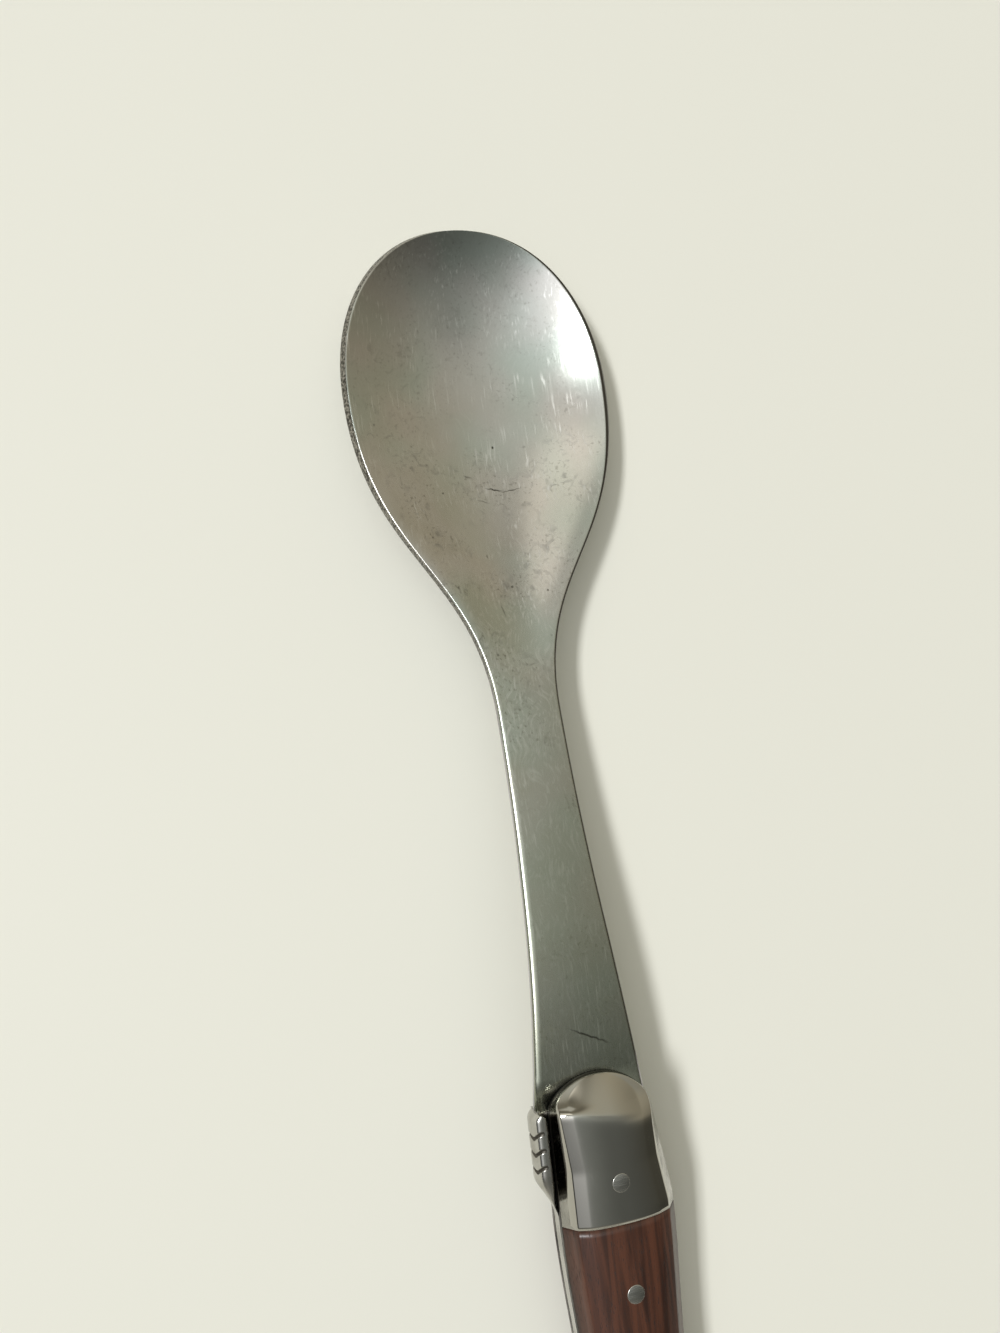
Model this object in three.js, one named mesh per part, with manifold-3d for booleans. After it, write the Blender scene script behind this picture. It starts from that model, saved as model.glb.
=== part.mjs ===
// Salad serving spoon with a riveted handle: a pressed steel blank (bowl, shaft and tang in one piece),
// a filed back spring beside the tang, and a liner, a bolster and a scale on each face, held by four pins.
//
// Modelled in the handle's own frame, in millimetres: +X runs to the tip of the bowl, +Y to the back
// spring, +Z out of the open side of the bowl. X is 0 at the front edge of the bolsters, and Z is 0 in the
// middle of the steel blank. The whole spoon is then tilted so that it lies on a table, bowl up.

import * as THREE from 'three';
import { mergeVertices } from 'three/addons/utils/BufferGeometryUtils.js';
import Module from 'manifold-3d';

const wasm = await Module();
wasm.setup();
const { clamp, degToRad, lerp, smoothstep } = THREE.MathUtils;

// Blank: outline, cut from flat sheet
const SHEET = 2.5;
const HEAD_LENGTH = 154.5; // front of the bolsters to the tip, along the metal
const BOWL_WIDTH = 50;
const TIP_TO_WIDEST = 31.1;
const TIP_FULLNESS = 2.17; // exponent of the superellipse round the tip, where 2 is a plain ellipse
const NECK_WIDTH = 10.8;
const TIP_TO_NECK = 93;
const SHOULDER_PULL = 29.4; // how far the shoulder curve holds the width of the bowl
const NECK_PULL = 26; // how far it holds the width of the neck
const FLARE_RADIUS = 505; // edge of the shaft, widening from the neck to the handle

// Blank: the press gives the bowl its hollow and the shaft its arch
const BOWL_SHEET = 1.9; // the sheet is rolled thinner towards the bowl
const BOWL_DEPTH = 7.5;
const TIP_TO_DEEPEST = 37;
const TIP_TO_HOLLOW_END = 89;
const TIP_STEEPNESS = 2.6; // exponent of the hollow's floor towards the tip
const HOLLOW_FULLNESS = 2.1; // exponent of the hollow's section from side to side
const SHOULDER_FLAT_FROM = 28; // from here to the next the rim of the hollow eases to flat
const SHOULDER_FLAT_TO = 66;
const EDGE_BREAK = 0.35; // the cut edges are broken by a small chamfer
const ARCH_RADIUS = 130; // bend in front of the bolsters
const ARCH_ANGLE = degToRad(11);
const RIM_SWEEP_RADIUS = 600; // the rim of the bowl, seen from the side

// Handle: outline in plan, shared by the liners, bolsters and scales
const HANDLE_LENGTH = 100;
const HANDLE_OFFSET = -2.1; // the handle's middle line lies on the belly side of the bowl's
const BOLSTER_WIDTH = 19.7;
const WAIST_WIDTH = 17.2;
const SWELL_WIDTH = 20.4;
const WAIST_AT = 52; // distance behind the front of the bolsters
const BUTT_TO_SWELL = 17; // distance in front of the butt
const NOSE_RADIUS = 10.6; // round front of the bolsters
const NOSE_OFFSET = -0.75;
const BUTT_LENGTH = 13; // round end of the handle
const DROOP_FROM = 30;
const BUTT_DROOP = 3.4; // the butt hooks towards the belly

// Handle: layers
const SEAT_GAP = 0.1; // between two faces that lie on each other
const SIDE_GAP = 0.2; // between two edges that meet
const LINER = 1.15;
const BOLSTER_LENGTH = 23;
const GRIP_HEIGHT = 4.05; // bolsters and scales, at the middle of the crown
const WALL_HEIGHT = 2.75;
const NOSE_LEAN = 0.4; // how far the side wall leans in over its height, at the front corner
const BODY_LEAN = 1.9; // and from here to the butt
const BODY_LEAN_FROM = 14;
const EDGE_ROUND = 0.9; // width of the rounded edge between wall and crown
const BROW_RISE = 0.5; // how far the rounded edge climbs, as a share of its width
const LAND_WIDTH = 5; // flat along the middle of the crown
const RAMP_FOOT = 0.4; // height of the bolster where its front slope starts
const RAMP_LENGTH = 5.2;
const RAMP_ROUNDING = 0.25; // share of the slope's height that is rounded over at its top
const RAMP_SKEW = 0.3; // the front slope is ground a little towards the belly
const BUTT_ROLL = 9; // length over which the scales roll down to the butt
const BUTT_HEIGHT = 2.2;

// Tang and back spring share the layer between the liners
const SPRING_WIDTH = 4.2;
const NOTCH_AT = 4.8; // where the blank steps in to make room for the spring
const TAIL_LENGTH = 32; // the spring fills the butt behind the tang
const SPRING_HEAD_THICKNESS = 5;
const SPRING_HEAD_WIDTH = 2.5;
const SPRING_HEAD_STEP = 0.55; // the head stands this far clear of the liners
const SPRING_HEAD_CROWN = 0.95; // its back is rounded from face to face by this much
const SPRING_HEAD_STRAIGHT = 9.5;
const SPRING_HEAD_TAPER = 8;
const GROOVES = 3; // filed across the back
const GROOVE_INSET = 2.9; // from the front of the head
const GROOVE_PITCH = 2.7;
const GROOVE_WIDTH = 0.45;
const GROOVE_DEPTH = 0.4;
const GROOVE_RAKE = 1; // each groove is a W, and this is the height of its strokes

// Pins
const PIN_DIAMETER = 3;
const PIN_CLEARANCE = 0.1;
const PIN_BREAK = 0.2; // chamfer round the ends
const BOLSTER_PIN_INSET = 6.5; // from the back end of the bolsters
const FRONT_PIN_INSET = 11; // from the front end of the scales
const REAR_PIN_INSET = 18; // from the butt

// Facets
const BOWL_STATIONS = 44;
const SHAFT_STATIONS = 16;
const TANG_STATIONS = 14;
const BLANK_COLUMNS = 12;
const CROWN_STEPS = 3;
const EDGE_STEPS = 2;
const ROUND_STEPS = 9;
const NOSE_STEPS = 14;
const SIDE_STEPS = 16;
const TAIL_STEPS = 4;
const BODY_STEPS = 4;
const PIN_SIDES = 20;
const CUT_MARGIN = 1; // how far a cutting tool runs past what it cuts
const STEP = 0.1; // a square shoulder is cut within this length
const TINY_END = 0.004; // share of a round end that is left flat
const TIP_FLAT = 0.025; // and of the tip, as a length
const WELD = 1e-4; // points closer than this are one
const PROBE = 0.01; // step for measuring the slope of the blank's upper face
const TILT_ROUNDS = 12; // steps in which the spoon settles on the table

// Materials
const satinSteel = new THREE.MeshStandardMaterial({ color: 0xa9a89f, roughness: 0.32, metalness: 1 });
const polishedSteel = new THREE.MeshStandardMaterial({ color: 0xb4b2a8, roughness: 0.08, metalness: 1 });
const darkWood = new THREE.MeshStandardMaterial({ color: 0x4a2a1a, roughness: 0.45, metalness: 0 });
const pinSteel = new THREE.MeshStandardMaterial({ color: 0xb8b6ae, roughness: 0.2, metalness: 1 });

// Solids

function toSolid(geometry) {
  const bare = new THREE.BufferGeometry();
  bare.setAttribute('position', geometry.getAttribute('position').clone());
  if (geometry.index) bare.setIndex(geometry.index.clone());
  const merged = mergeVertices(bare, WELD);
  return new wasm.Manifold(new wasm.Mesh({
    numProp: 3,
    vertProperties: merged.getAttribute('position').array,
    triVerts: new Uint32Array(merged.index.array),
  }));
}

function toGeometry(solid) {
  const { vertProperties, triVerts } = solid.getMesh();
  const geometry = new THREE.BufferGeometry();
  geometry.setAttribute('position', new THREE.BufferAttribute(vertProperties, 3));
  geometry.setIndex(new THREE.BufferAttribute(triVerts, 1));
  geometry.computeVertexNormals();
  return geometry;
}

// Skins a row of closed sections, each a loop of as many points, and caps both ends.
// The sections run towards -X, and each loop runs from +Y over the top to -Y and back underneath.
function loft(sections) {
  const size = sections[0].length;
  const points = sections.flat();
  const triangles = [];
  for (let row = 0; row + 1 < sections.length; row++) {
    for (let i = 0; i < size; i++) {
      const a = row * size + i;
      const b = row * size + ((i + 1) % size);
      triangles.push(a, a + size, b, b, a + size, b + size);
    }
  }
  const capOf = (section) => THREE.ShapeUtils.triangulateShape(
    section.map((p) => new THREE.Vector2(p.y, p.z)), []);
  const last = points.length - size;
  for (const [a, b, c] of capOf(sections[0])) triangles.push(a, b, c);
  for (const [a, b, c] of capOf(sections.at(-1))) triangles.push(last + a, last + c, last + b);
  return new THREE.BufferGeometry().setFromPoints(points).setIndex(triangles);
}

// A flat plate between two heights, cut to a shape drawn in X and Y.
function plate(shape, bottom, top) {
  const flat = new THREE.ExtrudeGeometry(shape, { depth: top - bottom, bevelEnabled: false });
  return flat.translate(0, 0, bottom);
}

// Drills along Z, right through the handle.
function drill(solid, places) {
  const depth = 2 * (gripTop + CUT_MARGIN);
  return places.reduce((rest, { x, y }) => {
    const bit = new THREE.CylinderGeometry(pinHoleRadius, pinHoleRadius, depth, PIN_SIDES);
    return rest.subtract(toSolid(bit.rotateX(Math.PI / 2).translate(x, y, 0)));
  }, solid);
}

// Evenly spaced numbers from start to end, both included.
function spread(start, end, steps) {
  return Array.from({ length: steps + 1 }, (_, i) => lerp(start, end, i / steps));
}

// Numbers that crowd together at start, for a round end.
function crowd(start, end, steps) {
  return spread(0, Math.PI / 2, steps).map((angle) => lerp(end, start, Math.cos(angle)));
}

// Where a yes turns to a no between low and high.
function turningPoint(low, high, holds) {
  while (high - low > WELD / 100) {
    const middle = (low + high) / 2;
    if (holds(middle)) low = middle;
    else high = middle;
  }
  return low;
}

// Blank

// Half width of the cut outline at a distance from the tip: superellipse, shoulder curve, then flare.
const shoulder = new THREE.CubicBezierCurve(
  new THREE.Vector2(TIP_TO_WIDEST, BOWL_WIDTH / 2),
  new THREE.Vector2(TIP_TO_WIDEST + SHOULDER_PULL, BOWL_WIDTH / 2),
  new THREE.Vector2(TIP_TO_NECK - NECK_PULL, NECK_WIDTH / 2),
  new THREE.Vector2(TIP_TO_NECK, NECK_WIDTH / 2),
);

function shoulderHalfWidth(fromTip) {
  return shoulder.getPoint(turningPoint(0, 1, (share) => shoulder.getPoint(share).x < fromTip)).y;
}

function blankHalfWidth(fromTip) {
  if (fromTip < TIP_TO_WIDEST) {
    const along = 1 - fromTip / TIP_TO_WIDEST;
    return (BOWL_WIDTH / 2) * (1 - along ** TIP_FULLNESS) ** (1 / TIP_FULLNESS);
  }
  if (fromTip < TIP_TO_NECK) return shoulderHalfWidth(fromTip);
  return NECK_WIDTH / 2 + FLARE_RADIUS - Math.sqrt(FLARE_RADIUS ** 2 - (fromTip - TIP_TO_NECK) ** 2);
}

// Handle outline, at a distance behind the front of the bolsters

const bodyHalfWidth = (back) => {
  const waist = lerp(BOLSTER_WIDTH, WAIST_WIDTH, smoothstep(back, BOLSTER_LENGTH, WAIST_AT));
  return lerp(waist, SWELL_WIDTH, smoothstep(back, WAIST_AT, HANDLE_LENGTH - BUTT_TO_SWELL)) / 2;
};

const middleLine = (back) => {
  const along = Math.max(0, back - DROOP_FROM) / (HANDLE_LENGTH - DROOP_FROM);
  return HANDLE_OFFSET - BUTT_DROOP * along ** 2;
};

const buttRound = (back) => {
  const along = clamp((back - HANDLE_LENGTH + BUTT_LENGTH) / BUTT_LENGTH, 0, 1);
  return Math.sqrt(1 - along ** 2);
};

// The round nose stops limiting the width once it is as wide as it gets.
const noseHalfWidth = (back) => {
  if (back >= NOSE_RADIUS) return Infinity;
  return Math.sqrt(NOSE_RADIUS ** 2 - (NOSE_RADIUS - back) ** 2);
};

// The body of the handle follows the flare of the shaft on the belly side until it reaches its full width.
const bodyBack = (back) => middleLine(back) + bodyHalfWidth(back) * buttRound(back);
const bodyBelly = (back) => Math.max(
  -blankHalfWidth(HEAD_LENGTH + back), middleLine(back) - bodyHalfWidth(back) * buttRound(back));

// The liners, bolsters and scales begin with the round nose, and the tang stops short of the spring.
const backEdge = (back) => Math.min(NOSE_OFFSET + noseHalfWidth(back), bodyBack(back));
const bellyEdge = (back) => Math.max(NOSE_OFFSET - noseHalfWidth(back), bodyBelly(back));
const tangBackEdge = (back) => bodyBack(back) - SPRING_WIDTH;
const tangEnd = HANDLE_LENGTH - TAIL_LENGTH;

const linerBottom = SHEET / 2 + SEAT_GAP;
const linerTop = linerBottom + LINER;
const gripBottom = linerTop + SEAT_GAP;
const gripTop = gripBottom + GRIP_HEIGHT;
const pinHoleRadius = PIN_DIAMETER / 2 + PIN_CLEARANCE;

const pinPlace = (back) => ({ x: -back, y: (bodyBack(back) + bodyBelly(back)) / 2 });
const frontPinAt = BOLSTER_LENGTH + SIDE_GAP + FRONT_PIN_INSET;
const rearPinAt = HANDLE_LENGTH - REAR_PIN_INSET;
const bolsterPin = pinPlace(BOLSTER_LENGTH - BOLSTER_PIN_INSET);
const scalePins = spread(frontPinAt, rearPinAt, 2).map(pinPlace);
const allPins = [bolsterPin, ...scalePins];

// Stations along the handle, crowded at its round ends, with one at each corner where the nose meets a side
const noseCorners = [
  turningPoint(0, NOSE_RADIUS, (back) => backEdge(back) < bodyBack(back)),
  turningPoint(0, NOSE_RADIUS, (back) => bellyEdge(back) > bodyBelly(back)),
];
const clearOfCorners = (back) => noseCorners.every((corner) => Math.abs(corner - back) > STEP);
const noseStations = crowd(NOSE_RADIUS * TINY_END, NOSE_RADIUS, NOSE_STEPS)
  .filter(clearOfCorners)
  .concat(noseCorners)
  .sort((a, b) => a - b);
const buttStart = HANDLE_LENGTH - BUTT_LENGTH;
const buttStations = crowd(HANDLE_LENGTH - BUTT_LENGTH * TINY_END, buttStart, ROUND_STEPS).reverse();
const sideStations = (from) => spread(from, buttStart, SIDE_STEPS).slice(0, -1);

// A flat outline from one edge along the handle and back along the other.
function edgeShape(stations, oneEdge, otherEdge) {
  const there = stations.map((back) => new THREE.Vector2(-back, oneEdge(back)));
  const andBack = stations.map((back) => new THREE.Vector2(-back, otherEdge(back))).reverse();
  return new THREE.Shape([...there, ...andBack]);
}

// Depth of the hollow on the middle line.
function hollowDepth(fromTip) {
  if (fromTip < TIP_TO_DEEPEST) {
    return BOWL_DEPTH * (1 - (1 - fromTip / TIP_TO_DEEPEST) ** TIP_STEEPNESS);
  }
  const along = clamp((fromTip - TIP_TO_DEEPEST) / (TIP_TO_HOLLOW_END - TIP_TO_DEEPEST), 0, 1);
  return BOWL_DEPTH * (1 - along ** 2) ** 2;
}

// How much of that depth is left at a share of the way out to the rim: a bowl that meets the rim at a
// slope, which turns into one with a soft, flat rim along the shoulders.
function hollowShare(fromTip, out) {
  const sloped = 1 - out ** HOLLOW_FULLNESS;
  const soft = (1 - out ** 2) ** 2;
  return lerp(sloped, soft, smoothstep(fromTip, SHOULDER_FLAT_FROM, SHOULDER_FLAT_TO));
}

// Side view of the blank's upper face, at a distance in front of the bolsters: straight tang, arch,
// straight shank, and the sweep of the rim from the neck to the tip.
const shankFrom = ARCH_RADIUS * ARCH_ANGLE;
const shankTo = HEAD_LENGTH - TIP_TO_NECK;

function spine(front) {
  const arch = clamp(front / ARCH_RADIUS, 0, ARCH_ANGLE);
  const shank = clamp(front, shankFrom, shankTo) - shankFrom;
  const slope = Math.max(0, front - shankTo) / RIM_SWEEP_RADIUS - arch;
  const sweepX = RIM_SWEEP_RADIUS * (Math.sin(slope) + Math.sin(arch));
  const sweepZ = RIM_SWEEP_RADIUS * (Math.cos(arch) - Math.cos(slope));
  const x = Math.min(front, 0) + ARCH_RADIUS * Math.sin(arch) + shank * Math.cos(arch) + sweepX;
  const z = SHEET / 2 - ARCH_RADIUS * (1 - Math.cos(arch)) - shank * Math.sin(arch) + sweepZ;
  return { x, z, slope };
}

// A point of the blank's upper face: across runs from -1 at the belly edge to 1 at the back edge.
function upperFace(front, across) {
  const fromTip = HEAD_LENGTH - front;
  const { x, z, slope } = spine(front);
  const depth = hollowDepth(fromTip) * hollowShare(fromTip, Math.abs(across));
  const { back, belly } = blankEdges(front);
  const y = lerp(belly, back, (across + 1) / 2);
  return new THREE.Vector3(x + depth * Math.sin(slope), y, z - depth * Math.cos(slope));
}

function blankEdges(front) {
  const flare = blankHalfWidth(HEAD_LENGTH - front);
  if (front >= 0) return { back: flare, belly: -flare };
  return { back: -front < NOTCH_AT ? flare : tangBackEdge(-front), belly: bodyBelly(-front) };
}

function upperNormal(front, across) {
  const inside = clamp(across, PROBE - 1, 1 - PROBE);
  const ahead = Math.min(front, HEAD_LENGTH - 2 * PROBE);
  const along = upperFace(ahead + PROBE, inside).sub(upperFace(ahead - PROBE, inside));
  const sideways = upperFace(ahead, inside + PROBE).sub(upperFace(ahead, inside - PROBE));
  return along.cross(sideways).normalize();
}

function blankSection(front) {
  const columns = spread(1, -1, BLANK_COLUMNS);
  const thickness = lerp(BOWL_SHEET, SHEET, smoothstep(HEAD_LENGTH - front, TIP_TO_DEEPEST, TIP_TO_NECK));
  const { back, belly } = blankEdges(front);
  const chamfer = Math.min(EDGE_BREAK, (back - belly) / 6);
  const inset = 1 - (2 * chamfer) / (back - belly);
  const under = (across, depth) => upperFace(front, across)
    .addScaledVector(upperNormal(front, across), -depth);
  const upper = columns.map((across) => upperFace(front, across * inset));
  const lower = columns.map((across) => under(across * inset, thickness)).reverse();
  const edge = (side) => [
    under(side, EDGE_BREAK),
    under(side, thickness - EDGE_BREAK),
  ];
  return [...upper, ...edge(-1), ...lower, ...edge(1).reverse()];
}

function makeSpoonHead() {
  const bowl = [
    ...crowd(HEAD_LENGTH - TIP_FLAT, HEAD_LENGTH - TIP_TO_WIDEST, BOWL_STATIONS / 2).slice(0, -1),
    ...spread(HEAD_LENGTH - TIP_TO_WIDEST, HEAD_LENGTH - TIP_TO_NECK, BOWL_STATIONS / 2),
  ];
  const shaft = spread(HEAD_LENGTH - TIP_TO_NECK, 0, SHAFT_STATIONS).slice(1);
  const tang = spread(-NOTCH_AT - STEP, -tangEnd, TANG_STATIONS);
  const sections = [...bowl, ...shaft, STEP - NOTCH_AT, ...tang].map(blankSection);
  const blank = toSolid(loft(sections));
  return drill(blank, allPins);
}

// Back spring: a bar beside the tang that fills the butt behind it, with a thick, filed head

const springFront = NOTCH_AT + SIDE_GAP;
const springTail = tangEnd + SIDE_GAP;
const taperStart = springFront + SPRING_HEAD_STRAIGHT;
const headEnd = taperStart + SPRING_HEAD_TAPER;
const headFoot = bodyBack(NOTCH_AT) + SPRING_HEAD_STEP;
const headCrest = headFoot + SPRING_HEAD_WIDTH;
const headReach = SPRING_HEAD_THICKNESS / 2;

// Back of the spring: straight along the head, then down to the back of the handle.
const springBack = (back) => lerp(headCrest, bodyBack(back), smoothstep(back, taperStart, headEnd));

function makeBackSpring() {
  const inner = (back) => (back < springTail ? tangBackEdge(back) + SIDE_GAP : bellyEdge(back));
  const outer = (back) => Math.min(springBack(back), headFoot + SPRING_HEAD_WIDTH / 2);
  const stations = [
    ...spread(springFront + SPRING_HEAD_WIDTH / 2, headEnd, ROUND_STEPS),
    ...spread(headEnd, springTail - STEP, SIDE_STEPS / 2).slice(1),
    springTail,
    ...spread(springTail, buttStart, TAIL_STEPS).slice(1, -1),
    ...buttStations,
  ];
  const bar = plate(edgeShape([springFront, ...stations], outer, inner), -SHEET / 2, SHEET / 2);
  const core = springCrown(headCrest - GROOVE_DEPTH);
  const grooves = spread(0, GROOVES - 1, GROOVES - 1)
    .map((i) => toSolid(groove(springFront + GROOVE_INSET + i * GROOVE_PITCH)).subtract(core));
  const spring = grooves.reduce((rest, cut) => rest.subtract(cut), toSolid(bar).add(springHead()));
  return drill(spring, allPins);
}

// The head in plan, a bar with a round nose that tapers away along the back, crowned from face to face.
function springHead() {
  const nose = SPRING_HEAD_WIDTH / 2;
  const plan = new THREE.Shape();
  plan.absarc(-springFront - nose, headFoot + nose, nose, -Math.PI / 2, Math.PI / 2);
  for (const back of spread(taperStart, headEnd, ROUND_STEPS)) {
    if (springBack(back) > headFoot + STEP) plan.lineTo(-back, springBack(back));
  }
  plan.lineTo(plan.currentPoint.x, headFoot);
  const block = new THREE.ExtrudeGeometry(plan, {
    depth: SPRING_HEAD_THICKNESS, bevelEnabled: false, curveSegments: ROUND_STEPS,
  });
  return toSolid(block.translate(0, 0, -headReach))
    .intersect(springCrown(headCrest))
    .intersect(toSolid(springFlanks()));
}

// Everything between the flanks of the head, which close in to the thickness of the bar as it tapers.
function springFlanks() {
  const flank = spread(taperStart, headEnd, ROUND_STEPS).map((back) => {
    const half = lerp(headReach, SHEET / 2, smoothstep(back, taperStart, headEnd));
    return new THREE.Vector2(-back, half);
  });
  const upper = [new THREE.Vector2(CUT_MARGIN - springFront, headReach), ...flank];
  const lower = upper.map((p) => new THREE.Vector2(p.x, -p.y)).reverse();
  return cutFromBack([...upper, ...lower], SPRING_HEAD_WIDTH + 2 * CUT_MARGIN);
}

// A tool drawn in X and Z that reaches in from behind the back of the head.
function cutFromBack(outline, depth) {
  return new THREE.ExtrudeGeometry(new THREE.Shape(outline), { depth, bevelEnabled: false })
    .rotateX(Math.PI / 2)
    .translate(0, headCrest + CUT_MARGIN, 0);
}

// Everything on the inner side of a rounded back that crests at the given height.
function springCrown(crest) {
  const reach = headReach + CUT_MARGIN;
  const section = new THREE.Shape();
  section.moveTo(0, -reach);
  for (const z of spread(-reach, reach, 2 * ROUND_STEPS)) {
    section.lineTo(crest - SPRING_HEAD_CROWN * (z / headReach) ** 2, z);
  }
  section.lineTo(0, reach);
  const rod = new THREE.ExtrudeGeometry(section, { depth: HANDLE_LENGTH, bevelEnabled: false });
  const upright = new THREE.Matrix4().makeBasis(
    new THREE.Vector3(0, 1, 0), new THREE.Vector3(0, 0, 1), new THREE.Vector3(1, 0, 0));
  return toSolid(rod.applyMatrix4(upright).translate(-HANDLE_LENGTH, 0, 0));
}

// One filed groove: a W in X and Z that points to the butt, cut in from the back of the head.
function groove(back) {
  const reach = headReach + CUT_MARGIN;
  const strokes = [[-reach, 0], [-headReach, 0], [-headReach / 2, 1], [0, 0.5]];
  const mirrored = strokes.slice(0, -1).reverse().map(([z, dip]) => [-z, dip]);
  const there = [...strokes, ...mirrored]
    .map(([z, dip]) => new THREE.Vector2(-back - dip * GROOVE_RAKE, z));
  const andBack = there.map((p) => new THREE.Vector2(p.x + GROOVE_WIDTH, p.y)).reverse();
  return cutFromBack([...there, ...andBack], 2 * (SPRING_HEAD_CROWN + CUT_MARGIN));
}

// Liners

function makeLiner() {
  const stations = [...noseStations, ...sideStations(NOSE_RADIUS).slice(1), ...buttStations];
  const blank = plate(edgeShape(stations, backEdge, bellyEdge), linerBottom, linerTop);
  return drill(toSolid(blank), allPins);
}

// Bolsters and scales

// Half of a grip's section, from the foot of the wall to the flat land along the crown. The height is given
// for every distance from the middle line, and side is 1 towards the back and -1 towards the belly.
function gripProfile(half, side, lean, heightAt) {
  const low = heightAt(side * half) / GRIP_HEIGHT;
  const narrow = Math.min(1, half / (WAIST_WIDTH / 2));
  const foot = new THREE.Vector2(half, 0);
  const wall = new THREE.Vector2(half - lean * low * narrow, WALL_HEIGHT * low);
  const brow = new THREE.Vector2(wall.x - EDGE_ROUND * narrow, wall.y + EDGE_ROUND * BROW_RISE * low);
  const turn = new THREE.Vector2(lerp(wall.x, brow.x, 0.3), lerp(wall.y, brow.y, 0.8));
  const landX = Math.min(LAND_WIDTH / 2, brow.x / 2);
  const land = new THREE.Vector2(landX, heightAt(side * landX));
  const edge = new THREE.QuadraticBezierCurve(wall, turn, brow);
  const rise = new THREE.Vector2((brow.x + landX) / 2, land.y);
  const crown = new THREE.QuadraticBezierCurve(brow, rise, land);
  return [foot, ...edge.getPoints(EDGE_STEPS), ...crown.getPoints(CROWN_STEPS).slice(1)];
}

function gripSection(back, heightAt) {
  const middle = lerp(NOSE_OFFSET, pinPlace(back).y, clamp(back / NOSE_RADIUS, 0, 1));
  const lean = lerp(NOSE_LEAN, BODY_LEAN, clamp(back / BODY_LEAN_FROM, 0, 1));
  const backSide = gripProfile(backEdge(back) - middle, 1, lean, heightAt);
  const bellySide = gripProfile(middle - bellyEdge(back), -1, lean, heightAt);
  return [...backSide.map((p) => [p.x, p.y]), ...bellySide.map((p) => [-p.x, p.y]).reverse()]
    .map(([y, z]) => new THREE.Vector3(-back, middle + y, gripBottom + z));
}

function makeBolster() {
  const ramp = (back) => (y) => {
    const along = (back + RAMP_SKEW * y) / RAMP_LENGTH;
    return lerp(RAMP_FOOT, GRIP_HEIGHT, smoothRamp(along));
  };
  const stations = [...noseStations, ...spread(NOSE_RADIUS, BOLSTER_LENGTH, BODY_STEPS).slice(1)];
  const blank = toSolid(loft(stations.map((back) => gripSection(back, ramp(back)))));
  return drill(blank, allPins);
}

// A straight slope from 0 to 1 whose upper end is rounded off.
function smoothRamp(along) {
  const over = along - (1 - RAMP_ROUNDING);
  if (over <= 0) return Math.max(0, along);
  return 1 - RAMP_ROUNDING * Math.exp(-over / RAMP_ROUNDING);
}

function makeScale() {
  const roll = (back) => () => {
    const along = clamp((back - HANDLE_LENGTH + BUTT_ROLL) / BUTT_ROLL, 0, 1);
    return lerp(BUTT_HEIGHT, GRIP_HEIGHT, Math.sqrt(1 - along ** 2));
  };
  const stations = [...sideStations(BOLSTER_LENGTH + SIDE_GAP), ...buttStations];
  const blank = toSolid(loft(stations.map((back) => gripSection(back, roll(back)))));
  return drill(blank, allPins);
}

// Pins, ground flush with the grip

function makePin() {
  const radius = PIN_DIAMETER / 2;
  const end = [[0, gripTop], [radius - PIN_BREAK, gripTop], [radius, gripTop - PIN_BREAK]];
  const rise = end.map(([x, y]) => new THREE.Vector2(x, -y));
  const fall = end.map(([x, y]) => new THREE.Vector2(x, y)).reverse();
  return new THREE.LatheGeometry([...rise, ...fall], PIN_SIDES).rotateX(Math.PI / 2);
}

// Assembly

function mesh(name, geometry, material) {
  const made = new THREE.Mesh(geometry, material.clone());
  made.name = name;
  return made;
}

// The upper piece and its mirror image for the lower face.
function facePair(name, solid, material) {
  const lower = mesh(`lower_${name}`, toGeometry(solid), material);
  lower.scale.z = -1;
  return [mesh(`upper_${name}`, toGeometry(solid), material), lower];
}

function pin(name, { x, y }) {
  const made = mesh(name, makePin(), pinSteel);
  made.position.set(x, y, 0);
  return made;
}

const spoon = new THREE.Group();
spoon.add(mesh('spoon_head', toGeometry(makeSpoonHead()), satinSteel));
spoon.add(mesh('back_spring', toGeometry(makeBackSpring()), polishedSteel));
spoon.add(...facePair('liner', makeLiner(), polishedSteel));
spoon.add(...facePair('bolster', makeBolster(), polishedSteel));
spoon.add(...facePair('scale', makeScale(), darkWood));
spoon.add(pin('bolster_pin', bolsterPin));
['front', 'middle', 'rear'].forEach((name, i) => spoon.add(pin(`${name}_scale_pin`, scalePins[i])));

// Tilts the spoon until the undersides of the bowl and of the butt are at the same height.
function layDown(group) {
  let tilt = 0;
  for (let round = 0; round < TILT_ROUNDS; round++) {
    group.rotation.y = tilt;
    group.updateMatrixWorld(true);
    const low = { bowl: new THREE.Vector3(0, 0, Infinity), butt: new THREE.Vector3(0, 0, Infinity) };
    group.traverse((part) => {
      if (!part.isMesh) return;
      const points = part.geometry.getAttribute('position');
      for (let i = 0; i < points.count; i++) {
        const p = new THREE.Vector3().fromBufferAttribute(points, i).applyMatrix4(part.matrixWorld);
        const end = p.x > 0 ? low.bowl : low.butt;
        if (p.z < end.z) end.copy(p);
      }
    });
    tilt += Math.atan2(low.bowl.z - low.butt.z, low.bowl.x - low.butt.x);
  }
  group.rotation.y = tilt;
  group.updateMatrixWorld(true);
  return new THREE.Box3().setFromObject(group, true);
}

// Origin under the middle of the spoon, on the table.
const box = layDown(spoon);
const centre = box.getCenter(new THREE.Vector3());
spoon.position.set(-centre.x, -centre.y, -box.min.z);

const root = new THREE.Group();
root.add(spoon);

export default root;
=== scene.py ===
import math

import bmesh
import bpy
from mathutils import Matrix, Vector


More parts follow.
